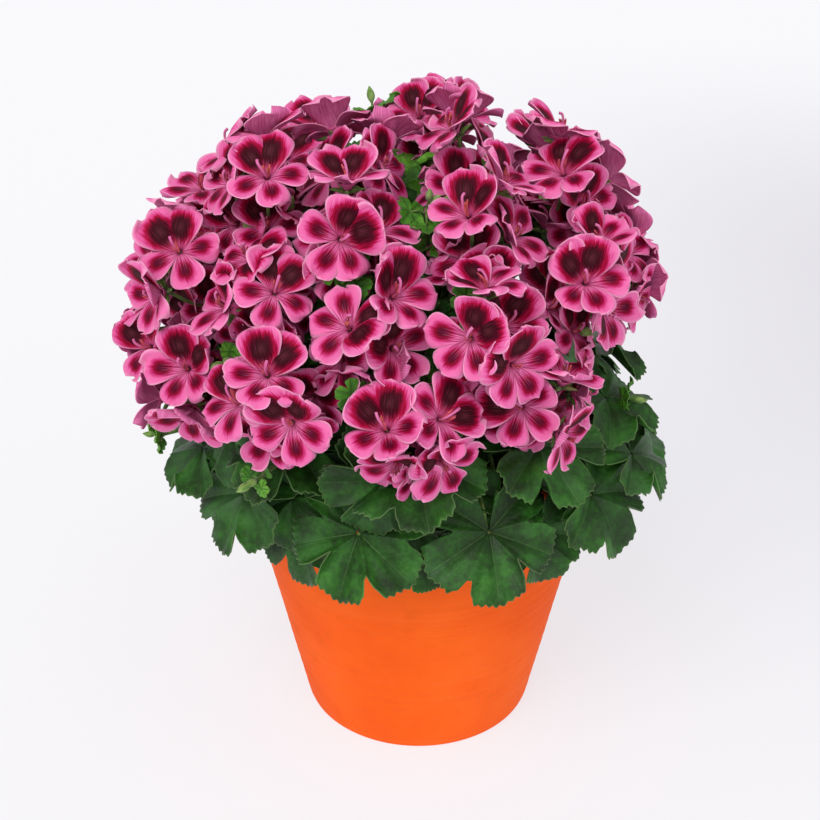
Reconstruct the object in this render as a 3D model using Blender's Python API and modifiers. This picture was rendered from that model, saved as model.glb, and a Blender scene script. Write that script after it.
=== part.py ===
"""Potted geranium: a regal pelargonium growing in a plain tapered terracotta pot.

Metres, +Z up. The origin is the centre of the pot's underside, and the front is -Y.
Azimuths are degrees from the front, positive towards +X; elevations are degrees above level.
"""

import math

import bmesh
import bpy
import numpy as np
from mathutils import Matrix, Vector

# Pot
POT_HEIGHT = 0.174
POT_TOP_RADIUS = 0.100
POT_BASE_RADIUS = 0.0625
POT_WALL = 0.006
POT_FLOOR = 0.009
RIM_ROUNDING = 0.002
POT_SEGMENTS = 48
CUTTER_SEGMENTS = 16
DRAIN_HOLES = 4
DRAIN_HOLE_RADIUS = 0.0045
DRAIN_RING_RADIUS = 0.034

# Soil
SOIL_BELOW_RIM = 0.022
SOIL_CROWN = 0.004
SOIL_CROWN_RADIUS = 0.031
SOIL_EDGE_ROUNDING = 0.003

# Clearances
SEAT_GAP = 0.0003
FLORET_GAP = 0.001

# Dome of flowers: it reaches past the pot's rim, and leans a little to the left of its axis
DOME_OVERHANG = 0.032
DOME_RISE = 0.048
DOME_LEAN = -0.0115

# Flower heads
FLORET_RADIUS = 0.0162
FLORET_NOTCH = 0.72
PETAL_SPREAD = 19.0
FUNNEL_DEPTH = 0.006
FUNNEL_RADIUS = 0.0014
PEDICEL_RADIUS = 0.0010
PEDUNCLE_RADIUS = 0.0017
HUB_RADIUS = 0.0032
UMBEL_DEPTH = 0.034
UMBEL_SPREAD = 8.5
UMBEL_LIFT = 8.0
UMBEL_TURN = 52.0
PETALS = 5

# Stems
STEMS = 5
STEM_RADIUS = 0.0045
STEM_TIP_RADIUS = 0.0032
STEM_RING_RADIUS = 0.022
STEM_COLLAR = 0.008
STEM_LEAN = 38.0
ROOT_DEPTH = 0.030
FORK_REACH = 0.042
BRANCH_REACH = 0.060
BRANCH_RADIUS = 0.0024
BRANCH_END = 0.012

# Leaves
BLADE_THICKNESS = 0.0016
LOBES = 5
LOBE_ANGLE = 62.0
LOBE_DEPTH = 0.17
STEPS_PER_LOBE = 4
SINUS_DEPTH = 0.12
PETIOLE_RADIUS = 0.0011
PETIOLE_DROP = 0.005
ARCH_BACK = 0.012
ARCH_RISE = 0.014
LOWEST_PETIOLE = 0.012
PETIOLE_STEP = 0.014

# Every flower head: azimuth, elevation, how far it stands out of the dome, florets
HEADS = (
    (-25, 73, -0.012, 4),
    (46, 69, -0.009, 4),
    (162, 60, -0.016, 4),
    (-108, 56, -0.022, 4),
    (-14, 50, -0.002, 4),
    (-54, 52, 0.002, 4),
    (28, 46, -0.002, 4),
    (78, 47, -0.002, 5),
    (118, 36, -0.008, 4),
    (168, 38, 0.000, 4),
    (-150, 34, -0.008, 4),
    (-94, 33, -0.012, 4),
    (-63, 29, 0.000, 4),
    (-36, 31, -0.002, 4),
    (-7, 27, -0.002, 4),
    (22, 25, 0.000, 4),
    (52, 29, 0.002, 4),
    (86, 22, -0.004, 4),
    (118, 14, 0.000, 4),
    (148, 14, 0.000, 4),
    (180, 14, 0.000, 4),
    (-148, 14, 0.000, 4),
    (-118, 12, -0.006, 4),
    (-83, 8, -0.006, 4),
    (-54, 7, 0.000, 4),
    (-27, 11, 0.000, 4),
    (5, 5, 0.000, 4),
    (35, 11, 0.000, 4),
)

# Every ring of leaves: drop below the lowest florets' edge, what its reach is measured from,
# reach past that, slope, blade radius, azimuths
LEAF_RINGS = (
    (0.0348, "rim", 0.013, 50, 0.0305, (-15, 17, 49, 81, 113, 145, 177, -151, -119, -85, -50)),
    (0.0258, "rim", 0.018, 44, 0.025, (65, 129, -135, -68)),
    (0.0028, "dome", -0.032, 27, 0.0300, (-1, 35, 71, 107, 143, 179, -145, -109, -73, -37)),
)

TERRACOTTA = ((0.94, 0.15, 0.03), 0.75)
EARTH = ((0.05, 0.032, 0.02), 0.95)
STEM_GREEN = ((0.16, 0.22, 0.06), 0.6)
LEAF_GREEN = ((0.035, 0.12, 0.03), 0.5)
PETAL_PINK = ((0.75, 0.10, 0.32), 0.55)


def clear_scene():
    for old in list(bpy.data.objects):
        bpy.data.objects.remove(old, do_unlink=True)


def new_collection(name, parent):
    made = bpy.data.collections.new(name)
    parent.children.link(made)
    return made


def new_material(name, look):
    colour, roughness = look
    made = bpy.data.materials.new(name)
    made.use_nodes = True
    shader = made.node_tree.nodes["Principled BSDF"]
    shader.inputs["Base Color"].default_value = (*colour, 1.0)
    shader.inputs["Roughness"].default_value = roughness
    shader.inputs["Metallic"].default_value = 0.0
    return made


def new_object(name, mesh, collection, material=None):
    made = bpy.data.objects.new(name, mesh)
    collection.objects.link(made)
    if material:
        mesh.materials.append(material)
    return made


def hide_as_cutter(cutter):
    cutter.hide_render = True
    cutter.display_type = "WIRE"


def direction(azimuth, elevation):
    """The unit vector at an azimuth from the front and an elevation above level."""
    turn, rise = math.radians(azimuth), math.radians(elevation)
    return Vector(
        (
            math.sin(turn) * math.cos(rise),
            -math.cos(turn) * math.cos(rise),
            math.sin(rise),
        )
    )


def pot_radius(height):
    """The pot's outer radius at a height."""
    share = height / POT_HEIGHT
    return POT_BASE_RADIUS + share * (POT_TOP_RADIUS - POT_BASE_RADIUS)


def turned(name, profile, collection, material):
    """A turned solid: the profile runs out from the axis, up, over and down its outer side."""
    mesh = bpy.data.meshes.new(name)
    points = [(radius, 0.0, height) for radius, height in profile]
    edges = [(i, i + 1) for i in range(len(points) - 1)]
    mesh.from_pydata(points, edges, [])
    made = new_object(name, mesh, collection, material)
    screw = made.modifiers.new("turn", "SCREW")
    screw.steps = POT_SEGMENTS
    screw.render_steps = POT_SEGMENTS
    screw.use_merge_vertices = True
    screw.merge_threshold = 0.00001
    screw.use_smooth_shade = True
    return made


def combine(body, pieces, operation):
    """Cuts every object of a collection out of the body, or grows them together with it."""
    boolean = body.modifiers.new(operation.lower(), "BOOLEAN")
    boolean.operation = operation
    boolean.operand_type = "COLLECTION"
    boolean.collection = pieces
    boolean.solver = "EXACT"


def upright_cutter(name, x, y, low, high, radius, collection):
    """An upright cylinder that cuts a hole."""
    mesh = bpy.data.meshes.new(name)
    shape = bmesh.new()
    bmesh.ops.create_cone(
        shape,
        cap_ends=True,
        segments=CUTTER_SEGMENTS,
        radius1=radius,
        radius2=radius,
        depth=high - low,
    )
    shape.to_mesh(mesh)
    shape.free()
    made = new_object(name, mesh, collection)
    made.location = (x, y, (low + high) / 2)
    hide_as_cutter(made)
    return made


def as_mesh(guide, collection, material=None):
    """Turns a curve object into a mesh object of the same name, with its caps welded on."""
    bpy.context.view_layer.update()
    seen = guide.evaluated_get(bpy.context.evaluated_depsgraph_get())
    mesh = bpy.data.meshes.new_from_object(seen)
    shape = bmesh.new()
    shape.from_mesh(mesh)
    bmesh.ops.remove_doubles(shape, verts=shape.verts, dist=0.00001)
    shape.to_mesh(mesh)
    shape.free()
    name, place = guide.name, guide.matrix_world.copy()
    curve = guide.data
    bpy.data.objects.remove(guide)
    bpy.data.curves.remove(curve)
    made = new_object(name, mesh, collection, material)
    made.matrix_world = place
    return made


def tube(name, points, radii, collection, material=None, roundness=1):
    """A stem-like tube through the points, with a radius at each."""
    curve = bpy.data.curves.new(name, "CURVE")
    curve.dimensions = "3D"
    curve.bevel_depth = 1.0
    curve.bevel_resolution = roundness
    curve.use_fill_caps = True
    spline = curve.splines.new("POLY")
    spline.points.add(len(points) - 1)
    for point, place, radius in zip(spline.points, points, radii):
        point.co = (*place, 1.0)
        point.radius = radius
    guide = bpy.data.objects.new(name, curve)
    collection.objects.link(guide)
    return as_mesh(guide, collection, material)


def make_pot(parts, cutters, material):
    inner_floor = pot_radius(POT_FLOOR) - POT_WALL
    inner_top = POT_TOP_RADIUS - POT_WALL
    profile = (
        (0.0, POT_FLOOR),
        (inner_floor, POT_FLOOR),
        (inner_top, POT_HEIGHT - RIM_ROUNDING),
        (inner_top + RIM_ROUNDING, POT_HEIGHT),
        (POT_TOP_RADIUS - RIM_ROUNDING, POT_HEIGHT),
        (POT_TOP_RADIUS, POT_HEIGHT - RIM_ROUNDING),
        (pot_radius(RIM_ROUNDING), RIM_ROUNDING),
        (POT_BASE_RADIUS - RIM_ROUNDING, 0.0),
        (0.0, 0.0),
    )
    pot = turned("pot", profile, parts, material)
    holes = new_collection("drain holes", cutters)
    for i in range(DRAIN_HOLES):
        at = DRAIN_RING_RADIUS * direction(360 * (i + 0.5) / DRAIN_HOLES, 0)
        low, high = -POT_FLOOR, 2 * POT_FLOOR
        upright_cutter(
            f"drain_hole_{i + 1}", at.x, at.y, low, high, DRAIN_HOLE_RADIUS, holes
        )
    return pot, holes


def soil_top():
    return POT_HEIGHT - SOIL_BELOW_RIM


def stem_azimuth(i):
    return 360 * (i - 0.5) / STEMS


def stem_foot(i):
    """Where stem i leaves the soil."""
    foot = STEM_RING_RADIUS * direction(stem_azimuth(i), 0)
    return Vector((foot.x, foot.y, soil_top()))


def make_soil(parts, cutters, material):
    """The soil fills the pot to below its rim and has a socket for each stem."""
    low = POT_FLOOR + SEAT_GAP
    wall = POT_WALL + 2 * SEAT_GAP
    edge = soil_top() - SOIL_EDGE_ROUNDING
    profile = (
        (0.0, soil_top() + SOIL_CROWN),
        (SOIL_CROWN_RADIUS, soil_top() + SOIL_CROWN),
        (pot_radius(edge) - wall - SOIL_EDGE_ROUNDING, soil_top()),
        (pot_radius(edge) - wall, edge),
        (pot_radius(low) - wall, low),
        (0.0, low),
    )
    soil = turned("soil", profile, parts, material)
    sockets = new_collection("stem sockets", cutters)
    for i in range(STEMS):
        foot = stem_foot(i)
        bottom = foot.z - ROOT_DEPTH - SEAT_GAP
        radius = STEM_RADIUS + 2 * SEAT_GAP
        upright_cutter(
            f"socket_{i + 1}", foot.x, foot.y, bottom, POT_HEIGHT, radius, sockets
        )
    return soil, sockets


def dome_radius():
    return POT_TOP_RADIUS + DOME_OVERHANG


def dome_centre():
    return Vector((DOME_LEAN, 0.0, POT_HEIGHT + DOME_RISE))


def stalk_way(azimuth, elevation):
    """The direction of a head's stalk, which lies below its florets, so that they look up."""
    return direction(azimuth, elevation - UMBEL_LIFT)


def nearest_stem(way):
    """The stem whose fork lies nearest to a direction from the dome's centre."""
    nearness = [way.dot(direction(stem_azimuth(i), STEM_LEAN)) for i in range(STEMS)]
    return nearness.index(max(nearness))


def stem_crown(i):
    """The top of stem i's upright foot, from where it leans to its fork."""
    return stem_foot(i) + Vector((0, 0, STEM_COLLAR))


def stem_fork(i):
    """Where stem i divides into its branches."""
    return dome_centre() + FORK_REACH * direction(stem_azimuth(i), STEM_LEAN)


def make_stems(parts, cutters, material):
    """Each stem, with the collection of branches that grow from its fork."""
    centre = dome_centre()
    grown = []
    for i in range(STEMS):
        foot, fork = stem_foot(i), stem_fork(i)
        root = foot - Vector((0, 0, ROOT_DEPTH))
        stem = tube(
            f"stem_{i + 1}",
            (root, stem_crown(i), fork),
            (STEM_RADIUS, STEM_RADIUS, STEM_TIP_RADIUS),
            parts,
            material,
            roundness=2,
        )
        branches = new_collection(f"branches {i + 1}", cutters)
        for j, (azimuth, elevation, _, _) in enumerate(HEADS):
            way = stalk_way(azimuth, elevation)
            if nearest_stem(way) != i:
                continue
            tip = centre + BRANCH_REACH * way
            start = fork + (foot - fork).normalized() * BRANCH_RADIUS
            branch = tube(
                f"branch_{j + 1:02d}",
                (start, tip - BRANCH_END * way, tip),
                (BRANCH_RADIUS,) * 3,
                branches,
            )
            hide_as_cutter(branch)
        grown.append((stem, branches))
    return grown


def umbel_layout():
    """Each floret's head and the centre of its face, spread so that no two florets touch."""
    centre = np.array(dome_centre())
    heads, homes = [], []
    for j, (azimuth, elevation, reach, florets) in enumerate(HEADS):
        way = direction(azimuth, elevation)
        side = way.orthogonal().normalized()
        for k in range(florets):
            turn = math.radians(360 * k / florets + UMBEL_TURN * j)
            spin = Matrix.Rotation(turn, 3, way)
            tip = Matrix.Rotation(math.radians(UMBEL_SPREAD), 3, spin @ side) @ way
            homes.append(centre + (dome_radius() + reach) * np.array(tip))
            heads.append(j)
    return heads, spread_apart(np.array(homes), 2 * FLORET_RADIUS + FLORET_GAP)


def spread_apart(homes, spacing, rounds=400, most=4000, push=0.3, pull=0.02):
    """Moves points apart until none is nearer to another than the spacing, but for half a gap.

    In the first half of the rounds each point is also drawn back to its home. Tightly packed
    points go on past the rounds until they are apart.
    """
    places = homes.copy()
    others = 1 - np.eye(len(homes))
    for step in range(most):
        gaps = places[:, None] - places[None]
        far = np.linalg.norm(gaps, axis=2)
        short = np.clip(spacing - far, 0.0, None) * others
        if step >= rounds and short.max() < FLORET_GAP / 2:
            break
        share = push * short / np.maximum(far, FLORET_GAP)
        places = places + (gaps * share[..., None]).sum(axis=1)
        if step < rounds // 2:
            places = places + pull * (homes - places)
    return places


def make_floret(name, hub, face, collection):
    """A pedicel from the hub that opens as a funnel into a flat face of five petals."""
    way = (face - hub).normalized()
    aim = way.to_track_quat("Z", "Y").to_matrix().to_4x4()
    aim.translation = face
    depth = (face - hub).length
    shape = bmesh.new()

    def ring(count, radius_at, height):
        made = []
        for i in range(count):
            radius, turn = radius_at(i)
            flat = (radius * math.cos(turn), radius * math.sin(turn), height)
            made.append(shape.verts.new(aim @ Vector(flat)))
        return made

    def round_ring(radius):
        return lambda i: (radius, 2 * math.pi * (i - 0.5) / PETALS)

    def outline(i):
        """Three points to a petal: the notch before it and its two corners."""
        petal, corner = divmod(i, 3)
        turn = 2 * math.pi * (petal - 0.5 * (corner == 0)) / PETALS
        turn += math.radians((0, -PETAL_SPREAD, PETAL_SPREAD)[corner])
        return FLORET_RADIUS * (FLORET_NOTCH if corner == 0 else 1.0), turn

    start = ring(PETALS, round_ring(PEDICEL_RADIUS), -depth)
    throat = ring(PETALS, round_ring(FUNNEL_RADIUS), -FUNNEL_DEPTH)
    rim = ring(3 * PETALS, outline, 0.0)
    shape.faces.new(start[::-1])
    shape.faces.new(rim)
    for i in range(PETALS):
        after = (i + 1) % PETALS
        notch, left, right = rim[3 * i : 3 * i + 3]
        shape.faces.new((start[i], start[after], throat[after], throat[i]))
        shape.faces.new((throat[i], left, notch))
        shape.faces.new((throat[i], throat[after], right, left))
        shape.faces.new((throat[after], rim[3 * after], right))
    bmesh.ops.triangulate(shape, faces=[f for f in shape.faces if len(f.verts) == 4])
    bmesh.ops.recalc_face_normals(shape, faces=shape.faces)
    mesh = bpy.data.meshes.new(name)
    shape.to_mesh(mesh)
    shape.free()
    floret = new_object(name, mesh, collection)
    hide_as_cutter(floret)
    return floret


def make_flower_heads(parts, cutters, material):
    """Each head's stalk, with the collection of florets that grow from its top."""
    centre = dome_centre()
    grown = []
    owners, faces = umbel_layout()
    for j, (azimuth, elevation, reach, _) in enumerate(HEADS):
        way = stalk_way(azimuth, elevation)
        seat = centre + (BRANCH_REACH + SEAT_GAP) * way
        hub = centre + (dome_radius() + reach - UMBEL_DEPTH) * way
        head = tube(
            f"flower_head_{j + 1:02d}",
            (seat, hub - 3 * HUB_RADIUS * way, hub, hub + HUB_RADIUS * way),
            (PEDUNCLE_RADIUS, PEDUNCLE_RADIUS, HUB_RADIUS, PEDUNCLE_RADIUS),
            parts,
            material,
        )
        florets = new_collection(f"florets {j + 1:02d}", cutters)
        own = [Vector(face) for owner, face in zip(owners, faces) if owner == j]
        for k, face in enumerate(own):
            make_floret(f"floret_{j + 1:02d}_{k + 1}", hub, face, florets)
        grown.append((head, florets))
    return grown


def lowest_florets():
    """The height of the lower edge of the lowest florets."""
    return dome_centre().z - FLORET_RADIUS


def blade_outline(radius):
    """A round leaf of five lobes, its tip along +Y and a notch where the petiole joins."""
    points = [(0.0, -SINUS_DEPTH * radius)]
    half = LOBES * STEPS_PER_LOBE // 2
    for i in range(-half, half + 1):
        turn = math.radians(i * LOBE_ANGLE / STEPS_PER_LOBE)
        wave = (1 - math.cos(2 * math.pi * i / STEPS_PER_LOBE)) / 2
        reach = radius * (1 - LOBE_DEPTH * wave)
        points.append((reach * math.sin(turn), reach * math.cos(turn)))
    return points


def blade_place(azimuth, centre, slope):
    """The blade's frame: its face turned outwards and up, its tip hanging outwards and down."""
    out = direction(azimuth, 0)
    lean = math.radians(slope)
    normal = out * math.sin(lean) + Vector((0, 0, math.cos(lean)))
    tip = out * math.cos(lean) - Vector((0, 0, math.sin(lean)))
    side = tip.cross(normal)
    place = Matrix((side, tip, normal)).transposed().to_4x4()
    place.translation = centre
    return place


def make_blade(name, outline, place, collection, material):
    curve = bpy.data.curves.new(name, "CURVE")
    curve.dimensions = "2D"
    curve.fill_mode = "BOTH"
    curve.extrude = BLADE_THICKNESS / 2
    spline = curve.splines.new("POLY")
    spline.points.add(len(outline) - 1)
    for point, (x, y) in zip(spline.points, outline):
        point.co = (x, y, 0.0, 1.0)
    spline.use_cyclic_u = True
    guide = bpy.data.objects.new(name, curve)
    collection.objects.link(guide)
    guide.matrix_world = place
    return as_mesh(guide, collection, material)


def petiole_seat(stem, height, goal):
    """Where a petiole that aims at the goal starts, just clear of its stem's side."""
    low, high = stem_crown(stem), stem_fork(stem)
    share = (height - low.z) / (high.z - low.z)
    axis = low.lerp(high, share)
    radius = STEM_RADIUS + share * (STEM_TIP_RADIUS - STEM_RADIUS)
    way = (goal - axis).normalized()
    along = abs(way.dot((high - low).normalized()))
    across = math.sqrt(1 - along**2)
    return axis + way * (radius + SEAT_GAP + PETIOLE_RADIUS * along) / across


def make_leaves(parts, cutters, material):
    """Each leaf's blade, with its petiole, which arches over the rim to a seat on its stem."""
    grown = []
    number = 0
    edges = {"rim": POT_TOP_RADIUS, "dome": dome_radius()}
    for tier, (drop, edge, reach, slope, radius, azimuths) in enumerate(LEAF_RINGS):
        for azimuth in azimuths:
            number += 1
            out = direction(azimuth, 0)
            joint = out * (edges[edge] + reach)
            joint.z = lowest_florets() - drop
            name = f"leaf_{number:02d}"
            place = blade_place(azimuth, joint, slope)
            blade = make_blade(name, blade_outline(radius), place, parts, material)
            normal = place.to_3x3().col[2]
            under = joint - PETIOLE_DROP * normal
            arch = under - ARCH_BACK * out + Vector((0, 0, ARCH_RISE))
            level = POT_HEIGHT + LOWEST_PETIOLE + PETIOLE_STEP * tier
            seat = petiole_seat(nearest_stem(out), level, arch)
            petioles = new_collection(f"petiole {number:02d}", cutters)
            petiole = tube(
                f"petiole_{number:02d}",
                (seat, arch, under, joint),
                (PETIOLE_RADIUS,) * 4,
                petioles,
            )
            hide_as_cutter(petiole)
            grown.append((blade, petioles))
    return grown


def main():
    clear_scene()
    scene = bpy.context.scene.collection
    parts = new_collection("Potted geranium", scene)
    cutters = new_collection("Cutters", scene)
    drilled = [
        make_pot(parts, cutters, new_material("terracotta", TERRACOTTA)),
        make_soil(parts, cutters, new_material("soil", EARTH)),
    ]
    grown = make_stems(parts, cutters, new_material("stem", STEM_GREEN))
    grown += make_flower_heads(parts, cutters, new_material("petal", PETAL_PINK))
    grown += make_leaves(parts, cutters, new_material("leaf", LEAF_GREEN))
    for body, holes in drilled:
        combine(body, holes, "DIFFERENCE")
    for body, pieces in grown:
        combine(body, pieces, "UNION")


main()
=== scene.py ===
"""Looks of the potted geranium: a regal pelargonium in a tapered terracotta pot.

Metres, +Z up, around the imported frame. The front of the plant is -Y.
"""

import math

import bmesh
import bpy
import numpy as np
from mathutils import Matrix, Vector


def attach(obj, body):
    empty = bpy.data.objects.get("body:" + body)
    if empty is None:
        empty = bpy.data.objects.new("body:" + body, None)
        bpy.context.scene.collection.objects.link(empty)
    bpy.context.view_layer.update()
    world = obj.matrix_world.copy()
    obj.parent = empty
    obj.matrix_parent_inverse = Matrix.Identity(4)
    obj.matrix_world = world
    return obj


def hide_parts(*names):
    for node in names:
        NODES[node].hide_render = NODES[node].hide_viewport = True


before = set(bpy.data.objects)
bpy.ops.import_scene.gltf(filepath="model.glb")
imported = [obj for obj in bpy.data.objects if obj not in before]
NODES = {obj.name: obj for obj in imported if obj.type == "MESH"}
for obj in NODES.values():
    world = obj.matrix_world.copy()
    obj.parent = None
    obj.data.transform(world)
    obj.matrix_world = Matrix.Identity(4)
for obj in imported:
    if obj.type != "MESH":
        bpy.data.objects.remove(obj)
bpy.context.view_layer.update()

SEED = 20260

# Camera and light
CAMERA_AT = (-0.0047, -0.760, 0.600)
CAMERA_TILT = 60.9
CAMERA_LENS = 72.0
FLOOR_SIZE = 60.0

# Petals
PETAL_THICKNESS = 0.0004
PETAL_ALONG = 13
PETAL_ACROSS = 11
PETAL_LAYER = 0.0007  # how far one petal lies over the next at its tip
# A petal's length and width, the angles it leans at foot and tip, how fast it widens, how
# bluntly it ends and how its sides bow
UPPER_FORM = (0.0225, 0.0108, 24, 82, 0.82, 3.9, 0.02)
LOWER_FORM = (0.0205, 0.0078, 34, 98, 1.0, 3.6, -0.10)
THROAT_DEPTH = 0.0045
THROAT_RINGS = ((0.0009, -0.0066), (0.0019, -0.0052), (0.0034, -0.0036), (0.0044, -0.0030))
# Angle from the floret's top, upper or lower, and layers above the others
PETALS = ((31, True, 1), (-31, True, 0), (112, False, 0), (-112, False, 0), (180, False, -0.4))

# Flower heads
FLORET_FACE_AREA = (0.0004, 0.0009)  # a floret's flat face in the CAD, in square metres
HUDDLE = 0.24  # how far the florets of a head draw together
FLORET_TILT = 0.20
FLORET_ROLL = 30
UNDER_FLORETS = 5
UNDER_TILT = 0.35
STAMENS = 5
SEPALS = 5
BUDS = 4
BRACTS = 6

# Leaves
LEAF_THICKNESS = 0.0005
LEAF_RINGS = 15
LEAF_STEPS = 224
LEAF_SWEEP = 166.0
LOBES = 5
TEETH_PER_LOBE = 11
CLEFT_DEPTHS = (0.14, 0.52)
BLADE_SIDE_SHARE = 0.893  # a CAD blade's half width, as a share of its radius
SHOOT_LEAVES = 3
SHOOT_BUDS = 2

# Pot, soil and stems
POT_STEPS = 192
POT_INNER_RINGS = 60
POT_OUTER_RINGS = 110
POT_RIM_STEPS = 7
POT_FOOT_STEPS = 6
POT_ROUNDING = 0.0018
DRILL_DEPTH = 0.04
SOIL_STEPS = 150
SOIL_RINGS = 34
SOIL_CHIPS = 170
STEM_VOXEL = 0.0009
STEM_SMOOTHING = 5

# Each group of pieces draws its random numbers from a seed of its own
LEAF_SEED = SEED + 100
INNER_SEED = SEED + 300
SKIRT_SEED = SEED + 500
SHOOT_SEED = SEED + 800
SOIL_SEED = SEED + 9


# ---------------------------------------------------------------- colours and materials


def linear(red, green, blue):
    """A colour given in display values from 0 to 255, as the linear colour that shaders use."""
    made = []
    for value in (red, green, blue):
        share = value / 255
        made.append(share / 12.92 if share <= 0.04045 else ((share + 0.055) / 1.055) ** 2.4)
    return (*made, 1.0)


class Graph:
    """Builds a material's nodes from short calls."""

    def __init__(self, name, roughness, specular, sheen=0.0):
        self.material = bpy.data.materials.new(name)
        self.material.use_nodes = True
        self.nodes = self.material.node_tree.nodes
        self.links = self.material.node_tree.links
        self.shader = self.nodes["Principled BSDF"]
        self.shader.inputs["Roughness"].default_value = roughness
        self.shader.inputs["Sheen Weight"].default_value = sheen
        self.shader.inputs["Specular IOR Level"].default_value = specular

    def put(self, socket, value):
        if value is None:
            return
        if isinstance(value, bpy.types.NodeSocket):
            self.links.new(value, socket)
        else:
            socket.default_value = value

    def math(self, operation, a, b=None, c=None):
        node = self.nodes.new("ShaderNodeMath")
        node.operation = operation
        for socket, value in zip(node.inputs, (a, b, c)):
            self.put(socket, value)
        return node.outputs[0]

    def times(self, a, b):
        return self.math("MULTIPLY", a, b)

    def plus(self, a, b):
        return self.math("ADD", a, b)

    def minus(self, a, b):
        return self.math("SUBTRACT", a, b)

    def ramp(self, factor, *stops):
        """Colours by factor; each stop is a place and a display colour."""
        node = self.nodes.new("ShaderNodeValToRGB")
        self.put(node.inputs[0], factor)
        elements = node.color_ramp.elements
        while len(elements) < len(stops):
            elements.new(0.5)
        for element, (place, *tone) in zip(elements, stops):
            element.position = place
            element.color = linear(*tone)
        return node.outputs[0]

    def step(self, factor, low, high):
        """0 below low, 1 above high, smooth between; low may be the larger."""
        node = self.nodes.new("ShaderNodeMapRange")
        node.interpolation_type = "SMOOTHSTEP"
        for socket, value in zip(node.inputs, (factor, low, high, 0.0, 1.0)):
            self.put(socket, value)
        return node.outputs[0]

    def mix(self, factor, a, b):
        node = self.nodes.new("ShaderNodeMix")
        node.data_type = "RGBA"
        self.put(node.inputs[0], factor)
        self.put(node.inputs[6], a)
        self.put(node.inputs[7], b)
        return node.outputs[2]

    def tint(self, colour, factor, share, tone):
        """The colour, turned toward a display colour by a share of the factor."""
        return self.mix(self.times(factor, share), colour, linear(*tone))

    def noise(self, vector, scale, detail=3.0, rough=0.55):
        node = self.nodes.new("ShaderNodeTexNoise")
        self.put(node.inputs["Vector"], vector)
        node.inputs["Scale"].default_value = scale
        node.inputs["Detail"].default_value = detail
        node.inputs["Roughness"].default_value = rough
        return node.outputs[0]

    def cell_edges(self, vector, scale):
        """The distance to the edge of the nearest cell."""
        node = self.nodes.new("ShaderNodeTexVoronoi")
        node.feature = "DISTANCE_TO_EDGE"
        self.put(node.inputs["Vector"], vector)
        node.inputs["Scale"].default_value = scale
        return node.outputs[0]

    def split(self, vector):
        parts = self.nodes.new("ShaderNodeSeparateXYZ")
        self.links.new(vector, parts.inputs[0])
        return parts.outputs[0], parts.outputs[1]

    def uv(self, name):
        node = self.nodes.new("ShaderNodeUVMap")
        node.uv_map = name
        return node.outputs[0], *self.split(node.outputs[0])

    def place(self):
        """The point's own place, in metres."""
        node = self.nodes.new("ShaderNodeTexCoord")
        return node.outputs["Object"]

    def scaled(self, vector, scale):
        node = self.nodes.new("ShaderNodeMapping")
        self.put(node.inputs["Vector"], vector)
        node.inputs["Scale"].default_value = scale
        return node.outputs[0]

    def bump(self, height, distance, strength):
        node = self.nodes.new("ShaderNodeBump")
        node.inputs["Strength"].default_value = strength
        node.inputs["Distance"].default_value = distance
        self.put(node.inputs["Height"], height)
        self.links.new(node.outputs[0], self.shader.inputs["Normal"])

    def finish(self, colour, roughness=None):
        self.put(self.shader.inputs["Base Color"], colour)
        self.put(self.shader.inputs["Roughness"], roughness)
        return self.material


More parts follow.
